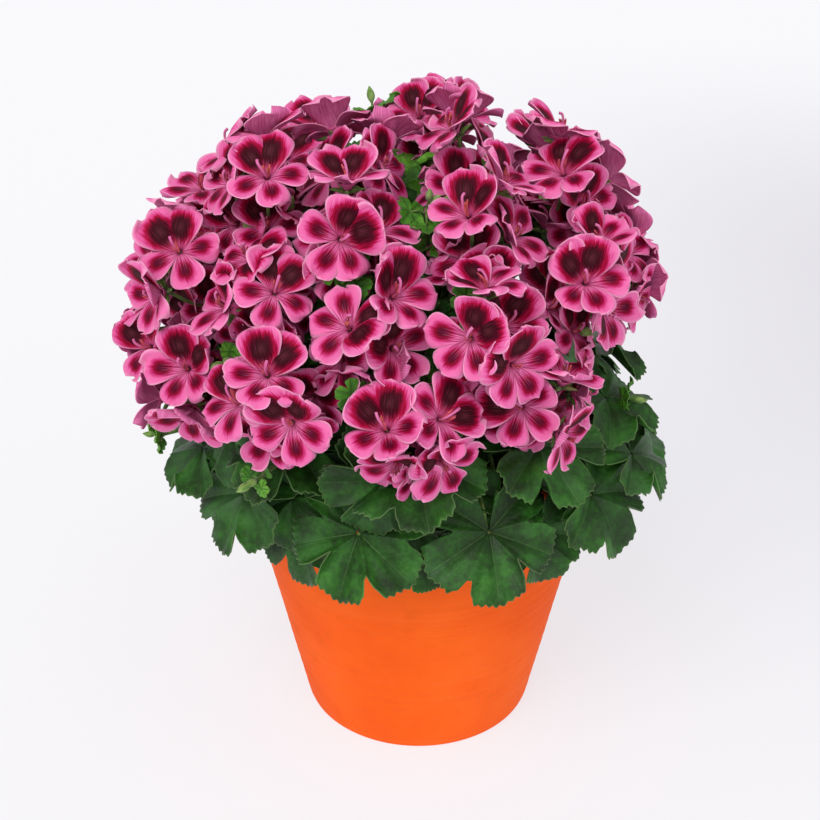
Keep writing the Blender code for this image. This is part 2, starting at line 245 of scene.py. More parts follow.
def petal_material(upper):
    """A petal's face: a dark velvet blotch, a crimson halo, a pink limb and a paler edge."""
    g = Graph("upper_petal" if upper else "lower_petal", roughness=0.62, specular=0.07)
    petal, across, along = g.uv("petal")
    _, side, tip = g.uv("rim")
    place = g.place()
    streaks = g.noise(g.scaled(petal, (34, 3.2, 1)), 1.0, 2.0)
    clouds = g.noise(place, 170, 2.0)
    middle, wide, tall = (0.53, 0.35, 0.40) if upper else (0.57, 0.22, 0.29)
    x = g.math("DIVIDE", g.minus(across, 0.5), wide)
    y = g.math("DIVIDE", g.minus(along, middle), tall)
    far = g.math("SQRT", g.plus(g.times(x, x), g.times(y, y)))
    far = g.plus(far, g.math("MULTIPLY_ADD", streaks, 0.60, -0.30))
    far = g.plus(far, g.math("MULTIPLY_ADD", clouds, 0.24, -0.12))
    far = g.times(far, 0.5)
    if upper:
        colour = g.ramp(
            far,
            (0.00, 66, 30, 28),
            (0.17, 52, 12, 18),
            (0.29, 66, 0, 18),
            (0.36, 126, 0, 36),
            (0.43, 174, 10, 62),
            (0.50, 212, 66, 132),
            (0.60, 230, 110, 168),
            (1.00, 236, 134, 184),
        )
    else:
        colour = g.ramp(
            far,
            (0.00, 62, 2, 22),
            (0.18, 92, 0, 30),
            (0.33, 150, 2, 48),
            (0.43, 200, 50, 116),
            (0.55, 230, 104, 164),
            (1.00, 238, 132, 184),
        )
    # dark veins that run up from the throat
    fan = g.math("DIVIDE", g.minus(across, 0.5), g.plus(along, 0.12))
    spread = g.nodes.new("ShaderNodeCombineXYZ")
    g.put(spread.inputs[0], g.times(fan, 26.0))
    g.put(spread.inputs[1], g.times(along, 1.2))
    lines = g.noise(spread.outputs[0], 1.0, 1.0)
    veins = g.step(lines, 0.49, 0.57)
    low = g.step(along, 0.40 if upper else 0.62, 0.10 if upper else 0.20)
    between = g.times(g.step(lines, 0.49, 0.41), g.times(low, 0.45))
    colour = g.mix(between, colour, linear(242, 150, 196))
    veins = g.times(veins, g.times(low, 0.9))
    colour = g.mix(veins, colour, linear(126, 4, 52))
    throat = g.step(along, 0.26 if upper else 0.16, 0.04)
    colour = g.tint(colour, throat, 0.8, (204, 84, 136))
    # faint veins in the pink, and the paler edge
    fine = g.step(g.noise(g.scaled(petal, (90, 2.5, 1)), 1.0, 1.0), 0.52, 0.62)
    colour = g.tint(colour, fine, 0.12, (190, 50, 120))
    beside = g.step(g.math("ABSOLUTE", side), 0.86, 1.0)
    ahead = g.step(tip, 0.93, 1.0)
    edge = g.math("MAXIMUM", beside, ahead)
    colour = g.tint(colour, edge, 0.66, (250, 180, 212))
    relief = g.plus(streaks, g.times(veins, -0.4))
    g.bump(relief, 0.0004, 0.5)
    return g.finish(colour)


def petal_back_material():
    """A petal's back: pale mauve-pink with darker veins."""
    g = Graph("petal_back", roughness=0.62, specular=0.08)
    petal, _, along = g.uv("petal")
    streaks = g.noise(g.scaled(petal, (46, 2.4, 1)), 1.0, 2.0)
    clouds = g.noise(g.place(), 120, 2.0)
    tone = g.plus(g.times(streaks, 0.7), g.times(clouds, 0.3))
    colour = g.ramp(
        tone,
        (0.30, 178, 70, 124),
        (0.46, 212, 104, 158),
        (0.62, 230, 136, 184),
        (0.80, 242, 170, 206),
    )
    dark = g.step(g.math("ABSOLUTE", g.minus(along, 0.5)), 0.45, 0.1)
    colour = g.tint(colour, dark, 0.24, (148, 40, 92))
    g.bump(streaks, 0.0004, 0.4)
    return g.finish(colour)


def leaf_material(name, tones, pale=0.11):
    """A leaf: mottled green, faint branching veins with painted shade in their creases, a fine pale
    edge and painted grey sheen.
    """
    g = Graph(name, roughness=0.5, sheen=0.03, specular=0.3)
    _, fan, out = g.uv("leaf")
    place = g.place()
    patches = g.noise(place, 60, 4.0)
    grain = g.noise(place, 420, 3.0)
    tone = g.plus(g.times(patches, 0.72), g.times(grain, 0.28))
    colour = g.ramp(tone, *[(at, *shade) for at, shade in zip((0.34, 0.46, 0.56, 0.70), tones)])
    # distance from the nearest main vein, as a share of a lobe, and across it
    beside = g.math("ABSOLUTE", g.minus(fan, g.math("ROUND", fan)))
    wander = g.math("MULTIPLY_ADD", g.noise(place, 300, 1.0), 0.03, -0.015)
    across = g.times(g.plus(beside, wander), out)
    main = g.step(across, 0.022, 0.005)
    chevron = g.minus(g.times(out, 7.0), g.times(beside, 5.5))
    chevron = g.plus(chevron, g.times(patches, 0.8))
    ribs = g.math("ABSOLUTE", g.minus(g.math("FRACT", chevron), 0.5))
    ribs = g.times(g.step(ribs, 0.10, 0.02), g.step(out, 0.12, 0.35))
    net = g.step(g.cell_edges(place, 620), 0.10, 0.02)
    veins = g.math("MAXIMUM", main, g.times(ribs, 0.35))
    veins = g.math("MAXIMUM", veins, g.times(net, 0.16))
    # painted shade: darker green along the main veins, where the pleated blade folds into creases
    crease_shade = g.times(g.step(across, 0.15, 0.02), 0.34)
    colour = g.mix(crease_shade, colour, linear(22, 42, 16))
    colour = g.tint(colour, veins, pale, (96, 130, 66))
    # painted sheen: lighter grey-green patches stand in for light glancing off the blade
    painted_sheen = g.step(g.noise(place, 34, 2.0), 0.50, 0.72)
    colour = g.tint(colour, painted_sheen, 0.24, (84, 132, 80))
    edge = g.step(out, 0.975, 0.998)
    colour = g.tint(colour, edge, 0.30, (128, 154, 92))
    relief = g.minus(g.times(grain, 0.5), g.times(veins, 0.8))
    g.bump(relief, 0.0005, 0.6)
    rough = g.math("MULTIPLY_ADD", patches, 0.3, 0.36)
    return g.finish(colour, rough)


def stalk_material(name, dark, light, tinge):
    """A soft green stalk with fine hairs and a reddish tinge."""
    g = Graph(name, roughness=0.6, sheen=0.2, specular=0.3)
    place = g.place()
    streaks = g.noise(place, 260, 3.0)
    patches = g.noise(place, 70, 2.0)
    colour = g.mix(g.step(streaks, 0.35, 0.65), linear(*dark), linear(*light))
    colour = g.tint(colour, g.step(patches, 0.5, 0.75), 0.5, tinge)
    g.bump(streaks, 0.0003, 0.6)
    return g.finish(colour)


def bark_material():
    """A woody stem: brown-green bark with leaf scars and fine cracks."""
    g = Graph("bark", roughness=0.8, specular=0.3)
    place = g.place()
    rings = g.noise(g.scaled(place, (90, 90, 420)), 1.0, 4.0)
    patches = g.noise(place, 90, 3.0)
    colour = g.ramp(
        rings,
        (0.30, 52, 44, 26),
        (0.48, 84, 82, 44),
        (0.62, 112, 116, 64),
        (0.78, 138, 128, 86),
    )
    colour = g.tint(colour, g.step(patches, 0.5, 0.7), 0.5, (66, 84, 38))
    g.bump(rings, 0.0008, 0.8)
    return g.finish(colour)


def terracotta_material():
    """Clay: warm orange, mottled, with faint throwing rings and fine grit."""
    g = Graph("terracotta", roughness=0.78, specular=0.15)
    place = g.place()
    clouds = g.noise(place, 16, 4.0)
    mottle = g.noise(place, 75, 4.0)
    rings = g.noise(g.scaled(place, (5, 5, 330)), 1.0, 3.0)
    grit = g.noise(place, 1500, 2.0)
    colour = g.ramp(
        clouds,
        (0.30, 242, 88, 12),
        (0.50, 250, 96, 16),
        (0.70, 255, 104, 24),
    )
    for tone, low, high, share, tint in (
        (mottle, 0.55, 0.72, 0.22, (216, 84, 26)),
        (rings, 0.52, 0.70, 0.11, (226, 88, 30)),
        (rings, 0.44, 0.30, 0.10, (255, 128, 66)),
    ):
        colour = g.tint(colour, g.step(tone, low, high), share, tint)
    specks = g.step(g.noise(place, 700, 1.0), 0.72, 0.80)
    colour = g.tint(colour, specks, 0.35, (150, 62, 26))
    relief = g.plus(g.times(rings, 0.7), g.times(grit, 0.3))
    g.bump(relief, 0.0006, 0.26)
    rough = g.math("MULTIPLY_ADD", mottle, 0.25, 0.64)
    return g.finish(colour, rough)


def soil_material():
    g = Graph("potting_soil", roughness=0.95, specular=0.2)
    place = g.place()
    clumps = g.noise(place, 160, 6.0, 0.7)
    colour = g.ramp(
        clumps,
        (0.32, 16, 10, 7),
        (0.50, 40, 27, 18),
        (0.66, 72, 50, 34),
        (0.82, 112, 88, 62),
    )
    g.bump(g.noise(place, 480, 5.0, 0.7), 0.002, 0.9)
    return g.finish(colour)


def backdrop_material():
    """A pale floor with a light of its own, as a light table has, so that shadows stay faint, and a
    soft patch of painted shade right of and behind the pot.
    """
    g = Graph("pale_floor", roughness=0.9, specular=0.1)
    place = g.place()
    right, back = g.split(place)
    # painted shade: a soft darker patch to the right of and behind the pot, like a broad faint
    # shadow; the glow and the floor's own colour both dim there
    painted_shade = g.times(g.step(back, -0.30, 0.45), g.step(back, 1.30, 0.55))
    painted_shade = g.times(g.step(right, -0.06, 0.42), painted_shade)
    painted_shade = g.plus(painted_shade, g.math("MULTIPLY_ADD", g.noise(place, 0.8, 2.0), 0.1, -0.05))
    glow = g.mix(painted_shade, (0.965, 0.962, 0.995, 1), (0.785, 0.765, 0.815, 1))
    g.put(g.shader.inputs["Emission Color"], glow)
    g.shader.inputs["Emission Strength"].default_value = 0.70
    return g.finish(g.mix(painted_shade, (0.26, 0.26, 0.262, 1), (0.22, 0.22, 0.225, 1)))


UPPER_PETAL = petal_material(True)
LOWER_PETAL = petal_material(False)
PETAL_BACK = petal_back_material()
LEAF = leaf_material("leaf_green", ((18, 42, 6), (28, 68, 12), (40, 96, 22), (62, 124, 38)))
YOUNG_LEAF = leaf_material(
    "young_leaf_green", ((44, 98, 16), (66, 132, 22), (94, 160, 38), (122, 182, 66)), 0.30
)
STALK = stalk_material("stalk_green", (62, 98, 34), (106, 142, 62), (136, 92, 70))
BUD = stalk_material("bud_green", (84, 124, 44), (142, 172, 92), (178, 192, 150))
ANTHER = stalk_material("anther", (150, 22, 58), (216, 84, 100), (232, 118, 62))
BARK = bark_material()
CLAY = terracotta_material()
SOIL = soil_material()

# Material slots of a flower head, and of a leaf or a shoot
UPPER_SLOT, LOWER_SLOT, BACK_SLOT, STALK_SLOT, ANTHER_SLOT, BUD_SLOT = range(6)
BLADE_SLOT, PETIOLE_SLOT, SHOOT_BUD_SLOT = range(3)


# ---------------------------------------------------------------- mesh building


def new_object(name, data):
    made = bpy.data.objects.new(name, data)
    bpy.context.scene.collection.objects.link(made)
    return made


class Shape:
    """Gathers vertices, faces, two UV layers and material numbers into one mesh."""

    def __init__(self, uvs=()):
        self.points, self.faces, self.slots, self.count = [], [], [], 0
        self.uvs = {name: [] for name in uvs}

    def add(self, points, faces, slot, **uvs):
        points = np.asarray(points, float).reshape(-1, 3)
        self.points.append(points)
        self.faces.extend([tuple(i + self.count for i in f) for f in faces])
        if isinstance(slot, int):
            slot = [slot] * len(faces)
        self.slots.extend(slot)
        self.count += len(points)
        for name, kept in self.uvs.items():
            given = uvs.get(name)
            kept.append(np.zeros((len(points), 2)) if given is None else np.asarray(given, float))

    def tube(self, path, radii, sides, slot):
        self.add(*tube_mesh(path, radii, sides), slot)

    def build(self, name, materials, smooth=True):
        mesh = bpy.data.meshes.new(name)
        mesh.from_pydata(np.vstack(self.points).tolist(), [], self.faces)
        for material in materials:
            mesh.materials.append(material)
        mesh.polygons.foreach_set("material_index", self.slots)
        mesh.polygons.foreach_set("use_smooth", [smooth] * len(self.faces))
        corner = np.zeros(len(mesh.loops), int)
        mesh.loops.foreach_get("vertex_index", corner)
        for layer, kept in self.uvs.items():
            uv = mesh.uv_layers.new(name=layer)
            uv.data.foreach_set("uv", np.vstack(kept)[corner].ravel())
        mesh.update()
        return new_object(name, mesh)


def unit(vector):
    return vector / np.linalg.norm(vector)


def grid_faces(rows, columns, start=0, flip=False, closed=False):
    made = []
    for i in range(rows - 1):
        for j in range(columns if closed else columns - 1):
            k = (j + 1) % columns
            a, b = start + i * columns + j, start + i * columns + k
            c, d = a + columns, b + columns
            made.append((a, c, d, b) if flip else (a, b, d, c))
    return made


def capped_faces(rows, columns):
    """The faces of a closed round skin, with a cap at each end."""
    made = grid_faces(rows, columns, closed=True)
    made.append(tuple(range(columns))[::-1])
    last = (rows - 1) * columns
    made.append(tuple(last + i for i in range(columns)))
    return made


def ring_points(radius, height, turns):
    return [(radius * math.sin(t), -radius * math.cos(t), height) for t in turns]


def thin_sheet(front, facing, thickness):
    """A closed thin shell from a grid of points: its points, its faces and which side each is."""
    rows, columns, _ = front.shape
    normals = surface_normals(front)
    turned = (normals @ facing).sum() < 0
    back = front - (-normals if turned else normals) * thickness
    total = rows * columns
    faces = grid_faces(rows, columns, flip=turned)
    sides = [0] * len(faces)
    behind = grid_faces(rows, columns, total, flip=not turned)
    faces += behind
    sides += [1] * len(behind)
    loop = list(range(columns))
    loop += [i * columns + columns - 1 for i in range(1, rows)]
    loop += [(rows - 1) * columns + j for j in range(columns - 2, -1, -1)]
    loop += [i * columns for i in range(rows - 2, 0, -1)]
    for a, b in zip(loop, loop[1:] + loop[:1]):
        across = (b, a, a + total, b + total)
        faces.append(across[::-1] if turned else across)
        sides.append(0)
    return np.concatenate([front.reshape(-1, 3), back.reshape(-1, 3)]), faces, sides


def surface_normals(points):
    """Unit normals of a grid of points."""
    down = np.gradient(points, axis=0)
    over = np.gradient(points, axis=1)
    normal = np.cross(over, down)
    length = np.linalg.norm(normal, axis=2, keepdims=True)
    return normal / np.maximum(length, 1e-12)


def curve_through(points, count):
    """A smooth path through the points."""
    points = np.asarray(points, float)
    ends = np.vstack([2 * points[0] - points[1], points, 2 * points[-1] - points[-2]])
    made = []
    spans = len(points) - 1
    for t in np.linspace(0, spans, count):
        i = min(int(t), spans - 1)
        u = t - i
        a, b, c, d = ends[i : i + 4]
        made.append(
            0.5 * (2 * b + (c - a) * u + (2 * a - 5 * b + 4 * c - d) * u**2)
            + 0.5 * (3 * b - a - 3 * c + d) * u**3
        )
    return np.array(made)


def tube_mesh(path, radii, sides):
    """A closed round tube along a path; its ends are drawn in."""
    path = np.asarray(path, float)
    radii = np.broadcast_to(np.asarray(radii, float), (len(path),))
    way = np.gradient(path, axis=0)
    way /= np.linalg.norm(way, axis=1, keepdims=True)
    helper = np.array((0.0, 0.0, 1.0)) if abs(way[0][2]) < 0.9 else np.array((1.0, 0.0, 0.0))
    turns = 2 * np.pi * np.arange(sides) / sides
    points = []
    for at, along, radius in zip(path, way, radii):
        helper = unit(helper - along * np.dot(helper, along))
        other = np.cross(along, helper)
        ring = at + radius * (np.outer(np.cos(turns), helper) + np.outer(np.sin(turns), other))
        points.append(ring)
    return np.vstack(points), capped_faces(len(path), sides)


def frame_of(forward, up):
    """Columns: side, up, forward, as unit vectors at right angles."""
    forward = unit(forward)
    up = unit(up - forward * np.dot(up, forward))
    return np.column_stack([np.cross(up, forward), up, forward])


def flat_faces(node):
    """The flat patches of a CAD node, as (area, centre, normal, corners), largest first."""
    mesh = NODES[node].data
    mesh.calc_loop_triangles()
    at = np.array([v.co for v in mesh.vertices], float)
    tri = np.array([t.vertices for t in mesh.loop_triangles], int)
    a, b, c = at[tri[:, 0]], at[tri[:, 1]], at[tri[:, 2]]
    cross = np.cross(b - a, c - a)
    area = np.linalg.norm(cross, axis=1) / 2
    keep = area > 1e-10
    tri, cross, area = tri[keep], cross[keep], area[keep]
    centre = at[tri].mean(axis=1)
    normal = cross / (2 * area[:, None])
    offset = (centre * normal).sum(axis=1)
    left = np.ones(len(tri), bool)
    found = []
    for i in np.argsort(-area):
        if not left[i]:
            continue
        same = left & (normal @ normal[i] > 0.9998) & (np.abs(offset - offset[i]) < 0.0002)
        left &= ~same
        total = area[same].sum()
        if total < 0.0001:
            continue
        middle = (centre[same] * area[same][:, None]).sum(axis=0) / total
        found.append((total, middle, normal[i], at[np.unique(tri[same])]))
    return sorted(found, key=lambda f: -f[0])


def floret_faces(node):
    """The centre and normal of each floret's flat face in a CAD head."""
    low, high = FLORET_FACE_AREA
    return [(middle, normal) for area, middle, normal, _ in flat_faces(node) if low < area < high]


def meeting_point(faces):
    """Where the faces' normals meet, by least squares."""
    total, pull = np.zeros((3, 3)), np.zeros(3)
    for middle, normal in faces:
        across = np.eye(3) - np.outer(normal, normal)
        total += across
        pull += across @ middle
    return np.linalg.solve(total, pull)


def out_of(azimuth, elevation=0.0):
    """The unit vector that way: degrees from the front, and degrees above level."""
    turn, rise = math.radians(azimuth), math.radians(elevation)
    return np.array(
        (math.sin(turn) * math.cos(rise), -math.cos(turn) * math.cos(rise), math.sin(rise))
    )


# ---------------------------------------------------------------- flowers


def petal_grid(rng, upper, angle, layers, size, open_by):
    """One petal in the floret's frame: x side, y up, z out of the face."""
    length, width, start, end, claw, tip, bow = UPPER_FORM if upper else LOWER_FORM
    length = length * size * rng.uniform(0.93, 1.07)
    width = width * size * rng.uniform(0.92, 1.08)
    along = 0.992 * (1 - (1 - np.linspace(0, 1, PETAL_ALONG)) ** 1.25)
    across = np.linspace(-1, 1, PETAL_ACROSS)
    end += open_by + rng.normal(0, 9)
    bend = np.radians(start + (end - start) * along**0.7)
    step = np.gradient(along) * length
    reach = 0.0008 + np.cumsum(np.sin(bend) * step) - np.sin(bend[0]) * step[0]
    height = -THROAT_DEPTH + np.cumsum(np.cos(bend) * step) - np.cos(bend[0]) * step[0]
    shape = (along + 0.05) ** claw * np.sqrt(1 - along**tip)
    half = width * shape / shape.max()
    x = half[:, None] * across
    lift = (bow + rng.normal(0, 0.11)) * x**2 / width
    phase, second = rng.uniform(0, 2 * np.pi, 2)
    wave = np.sin(phase + 3.6 * across[None] + 1.8 * along[:, None])
    crimp = np.sin(second + 9.0 * across[None] - 4.0 * along[:, None])
    edge = along[:, None] ** 2 * (0.35 + np.abs(across[None]) ** 1.5)
    lift = lift + length * edge * (0.075 * wave + 0.028 * crimp)
    curl = rng.normal(0.0, 0.05)
    lift = lift + length * curl * along[:, None] ** 4 * across[None]
    lift = lift + PETAL_LAYER * layers * along[:, None]
    radial = reach[:, None] - lift * np.cos(bend)[:, None]
    out = height[:, None] + lift * np.sin(bend)[:, None]
    turn = math.radians(angle + rng.normal(0, 4.5))
    up = radial * math.cos(turn) + x * math.sin(turn)
    side = radial * math.sin(turn) - x * math.cos(turn)
    grid = np.stack([side, up, out], axis=2)
    uv = np.stack([0.5 + x / length, np.broadcast_to(along[:, None], x.shape)], axis=2)
    rim = np.stack(np.broadcast_arrays(across[None], along[:, None]), axis=2)
    return grid, uv.reshape(-1, 2), rim.reshape(-1, 2)


def add_petals(shape, rng, place, turn, size):
    open_by = rng.normal(0, 9)
    for angle, upper, layers in PETALS:
        grid, uv, rim = petal_grid(rng, upper, angle, layers, size, open_by)
        grid = grid @ turn.T + place
        points, faces, sides = thin_sheet(grid, turn[:, 2], PETAL_THICKNESS)
        front = UPPER_SLOT if upper else LOWER_SLOT
        slots = [BACK_SLOT if side else front for side in sides]
        shape.add(points, faces, slots, petal=np.tile(uv, (2, 1)), rim=np.tile(rim, (2, 1)))


def add_throat(shape, place, turn, size):
    """The pink tube that the petals grow from."""
    spins = 2 * np.pi * np.arange(12) / 12
    rows = []
    for radius, height in THROAT_RINGS:
        ring = [(radius * math.cos(t), radius * math.sin(t), height) for t in spins]
        rows.append(np.array(ring + ring[:1]) * size)
    grid = np.array(rows) @ turn.T + place
    points, faces, _ = thin_sheet(grid, turn[:, 2], 0.0003)
    uv = np.tile(np.array((0.5, 0.06)), (len(points), 1))
    shape.add(points, faces, LOWER_SLOT, petal=uv, rim=uv * 0)


def add_stamens(shape, rng, place, turn, size):
    """Curved red filaments with small anthers, and a thick pink style that hooks upward."""
    lift = rng.uniform(0.001, 0.004)
    for _ in range(STAMENS):
        spin = rng.uniform(0, 2 * np.pi)
        lean = 0.0010 + 0.0012 * rng.random()
        tall = (0.0065 + 0.003 * rng.random()) * size
        side, up = math.cos(spin) * lean, math.sin(spin) * lean
        path = [
            (0.0, 0.0, -THROAT_DEPTH),
            (side * 0.6, up * 0.6 - 0.0004, -THROAT_DEPTH + tall * 0.6),
            (side, up + lift * 0.6, -THROAT_DEPTH + tall),
        ]
        path = curve_through(path, 6) @ turn.T + place
        shape.tube(path, (0.00032, 0.0003, 0.00028, 0.00026, 0.00050, 0.0003), 5, ANTHER_SLOT)
    tall = (0.0095 + 0.002 * rng.random()) * size
    sway = rng.normal(0, 0.0012)
    path = [
        (0.0, 0.0, -THROAT_DEPTH),
        (sway * 0.4, -0.0006, -THROAT_DEPTH + tall * 0.55),
        (sway, lift * 0.7, -THROAT_DEPTH + tall * 0.95),
        (sway, lift + 0.0014, -THROAT_DEPTH + tall),
    ]
    path = curve_through(path, 9) @ turn.T + place
    shape.tube(path, np.linspace(0.00045, 0.00075, 9), 7, BACK_SLOT)


def add_calyx(shape, rng, place, turn, size):
    """Five pointed sepals behind the petals."""
    for i in range(SEPALS):
        spin = 2 * np.pi * (i + 0.5) / SEPALS
        aim = np.array((math.cos(spin), math.sin(spin), 0.0))
        base = np.array((0, 0, -THROAT_DEPTH - 0.0032)) + 0.0006 * aim
        tip = base + aim * 0.0080 * size + np.array((0, 0, 0.0010 + 0.002 * rng.random()))
        middle = (base + tip) / 2 + np.array((0, 0, 0.0006))
        path = curve_through([base, middle, tip], 6) @ turn.T + place
        shape.tube(path, (0.0006, 0.0010, 0.0011, 0.0010, 0.0006, 0.00015), 5, STALK_SLOT)


def add_bud(shape, foot, way, size, slot):
    """A closed bud: a pointed oval in hairy sepals at the end of its stalk."""
    way = unit(way)
    share = np.linspace(0, 1, 9)
    path = np.array(foot) + np.outer(share * size, way)
    radii = size * 0.26 * np.sin(np.pi * np.clip(share, 0.04, 0.97)) ** 0.7 * (1.15 - 0.4 * share)
    shape.tube(path, radii, 7, slot)


def flower_head(node, number):
    rng = np.random.default_rng(SEED + number)
    faces = floret_faces(node)
    hub = meeting_point(faces)
    mean = unit(sum(normal for _, normal in faces))
    at = np.array([v.co for v in NODES[node].data.vertices], float)
    along = (at - hub) @ mean
    seat = at[along < along.min() + 0.001].mean(axis=0)
    shape = Shape(("petal", "rim"))
    heart = sum(middle for middle, _ in faces) / len(faces)
    blooms = []
    for middle, normal in faces:
        middle = middle + HUDDLE * (heart - middle) + normal * rng.uniform(-0.004, 0.003)
        blooms.append((middle, normal + rng.normal(0, FLORET_TILT, 3), rng.uniform(0.93, 1.08)))
    # smaller florets lower in the head, which show in its gaps
    basis = frame_of(mean, np.array((0.3, 0.2, 1.0)))
    first = rng.uniform(0, 2 * np.pi)
    for k in range(UNDER_FLORETS):
        spin = first + 2 * np.pi * k / UNDER_FLORETS
        way = unit(mean + 0.85 * (basis[:, 0] * math.cos(spin) + basis[:, 1] * math.sin(spin)))
        facing = way + rng.normal(0, UNDER_TILT, 3)
        blooms.append((hub + way * rng.uniform(0.017, 0.024), facing, rng.uniform(0.76, 0.92)))
    for middle, normal, size in blooms:
        facing = unit(normal)
        up = np.array((0.0, 0.0, 1.0)) - facing * facing[2]
        if np.linalg.norm(up) < 0.2:
            up = np.array((0.0, 1.0, 0.0))
        roll = Matrix.Rotation(math.radians(rng.normal(0, FLORET_ROLL)), 3, "Z")
        turn = frame_of(facing, up) @ np.array(roll)
        add_petals(shape, rng, middle, turn, size)
        add_throat(shape, middle, turn, size)
        add_stamens(shape, rng, middle, turn, size)
        add_calyx(shape, rng, middle, turn, size)
        under = middle - facing * (THROAT_DEPTH + 0.0040)
        bow = (hub + under) / 2 + rng.normal(0, 0.0012, 3)
        path = curve_through([hub, bow, under, under + facing * 0.0014], 10)
        radii = np.full(10, 0.0009)
        radii[-3:] = (0.0011, 0.0016, 0.0012)
        shape.tube(path, radii, 7, STALK_SLOT)
    for _ in range(BUDS):
        way = unit(mean + rng.normal(0, 0.55, 3))
        tip = hub + way * rng.uniform(0.010, 0.022)
        shape.tube(curve_through([hub, (hub + tip) / 2, tip], 5), 0.0007, 6, STALK_SLOT)
        add_bud(shape, tip - way * 0.0005, way, rng.uniform(0.008, 0.012), BUD_SLOT)
    for i in range(BRACTS):
        spin = 2 * np.pi * i / BRACTS
        aim = basis @ np.array((math.cos(spin), math.sin(spin), -0.35))
        path = curve_through([hub, hub + aim * 0.003, hub + aim * 0.0065], 5)
        shape.tube(path, (0.0012, 0.0016, 0.0014, 0.0009, 0.0002), 6, STALK_SLOT)
    path = curve_through([seat, (seat + hub) / 2, hub + mean * 0.001], 10)
    radii = np.linspace(0.0018, 0.0016, 10)
    radii[-2:] = (0.0022, 0.0024)
    shape.tube(path, radii, 10, STALK_SLOT)
    materials = (UPPER_PETAL, LOWER_PETAL, PETAL_BACK, STALK, ANTHER, BUD)
    piece = shape.build(f"blooms_{number:02d}", materials)
    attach(piece, "root")
    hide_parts(node)
    return piece


# ---------------------------------------------------------------- leaves


def swung(side, tip, degrees):
    """The two axes of a blade, turned in its plane."""
    turn = math.radians(degrees)
    return (
        side * math.cos(turn) + tip * math.sin(turn),
        tip * math.cos(turn) - side * math.sin(turn),
    )


def add_blade(shape, rng, place, side, tip, normal, radius, droop=0.10):
    """A toothed, lobed and pleated blade; the petiole joins at its centre."""
    sweep = np.radians(np.linspace(-LEAF_SWEEP, LEAF_SWEEP, LEAF_STEPS + 1))
    lobe = math.radians(2 * LEAF_SWEEP / LOBES) * 0.97
    fan = sweep / lobe
    nearness = np.cos(2 * np.pi * fan) * 0.5 + 0.5
    # each cleft has a depth of its own; they are narrow, so that the lobes stay broad
    depths = rng.uniform(*CLEFT_DEPTHS, 6)[np.clip(np.floor(fan).astype(int) + 3, 0, 5)]
    outline = 1 - depths * (1 - nearness) ** 9 - 0.04 * (1 - nearness)
    outline += 0.012 * np.cos(2 * np.pi * fan * 3)
    outline *= 1 + 0.05 * np.sin(sweep * 1.0 + rng.uniform(0, 6)) + 0.03 * np.sin(
        3 * sweep + rng.uniform(0, 6)
    )
    teeth = (fan * TEETH_PER_LOBE + rng.uniform(0, 1)) % 1.0
    outline -= 0.054 * np.abs(teeth - 0.5) * 2 * (0.8 + 0.2 * rng.random(len(sweep)))
    back = np.clip((np.abs(sweep) - math.radians(138)) / math.radians(28), 0, 1)
    outline *= 1 - 0.30 * back**2
    share = np.linspace(0.03, 1, LEAF_RINGS)[:, None]
    reach = radius * share * (1 + (outline - 1) * share**1.5)
    x, y = reach * np.sin(sweep), reach * np.cos(sweep)
    pleat = -0.090 * radius * share**0.9 * np.cos(2 * np.pi * fan)
    minor = -0.026 * radius * share**1.5 * np.cos(2 * np.pi * fan * 3)
    phase = rng.uniform(0, 6, 3)
    ruffle = radius * share**3 * (
        0.085 * np.sin(2 * sweep + phase[0]) + 0.055 * np.sin(5 * sweep + phase[1])
    )
    sag = -droop * radius * (y / radius) * np.abs(y / radius) - 0.5 * droop * x**2 / radius
    dish = -0.06 * radius * np.exp(-((share / 0.25) ** 2))
    z = pleat + minor + ruffle + sag + dish
    grid = place + x[..., None] * side + y[..., None] * tip + z[..., None] * normal
    points, faces, _ = thin_sheet(grid, normal, LEAF_THICKNESS)
    uv = np.stack(np.broadcast_arrays(fan[None], share), axis=2).reshape(-1, 2)
    shape.add(points, faces, BLADE_SLOT, leaf=np.tile(uv, (2, 1)))


def leaf(node, number):
    rng = np.random.default_rng(LEAF_SEED + number)
    patches = [f for f in flat_faces(node) if f[2][2] > 0.3]
    _, middle, normal, corners = patches[0]
    out = unit(np.array((normal[0], normal[1], 0.0)))
    tip = -unit(np.array((0.0, 0.0, 1.0)) - normal * normal[2])
    side = np.cross(tip, normal)
    lateral = (corners - middle) @ side
    forward = (corners - middle) @ tip
    radius = np.abs(lateral).max() / BLADE_SIDE_SHARE
    joint = middle + tip * (forward.max() - radius)
    at = np.array([v.co for v in NODES[node].data.vertices], float)
    behind = (at - joint) @ out
    seat = at[behind < behind.min() + 0.0015].mean(axis=0)
    shape = Shape(("leaf",))
    side, ahead = swung(side, tip, rng.normal(0, 9))
    centre = joint + normal * 0.0006
    add_blade(shape, rng, centre, side, ahead, normal, radius * rng.uniform(1.10, 1.20))
    under = joint - 0.005 * normal
    arch = under - 0.012 * out + np.array((0, 0, 0.014))
    end = joint - 0.0025 * normal
    path = curve_through([seat, (seat + arch) / 2 + np.array((0, 0, 0.002)), arch, under, end], 18)
    shape.tube(path, np.linspace(0.0013, 0.0010, 18), 8, PETIOLE_SLOT)
    piece = shape.build(f"foliage_{number:02d}", (LEAF, STALK))
    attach(piece, "root")
    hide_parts(node)
    return piece


# Leaves inside the crown: azimuth, elevation, distance from the dome's centre, radius
INNER_LEAVES = [
    (azimuth + 14 * math.sin(3.1 * i), elevation, 0.094 + 0.008 * math.sin(5.0 * i), 0.029)
    for i, (azimuth, elevation) in enumerate(
        [(a, 80) for a in (-90, 90)]
        + [(-122, 66), (165, 70)]
        + [(a, 58) for a in range(-170, 180, 51)]
        + [(a, 36) for a in range(-175, 180, 30)]
        + [(a, 14) for a in range(-160, 180, 26)]
        + [(a, -6) for a in range(-172, 180, 26)]
    )
]

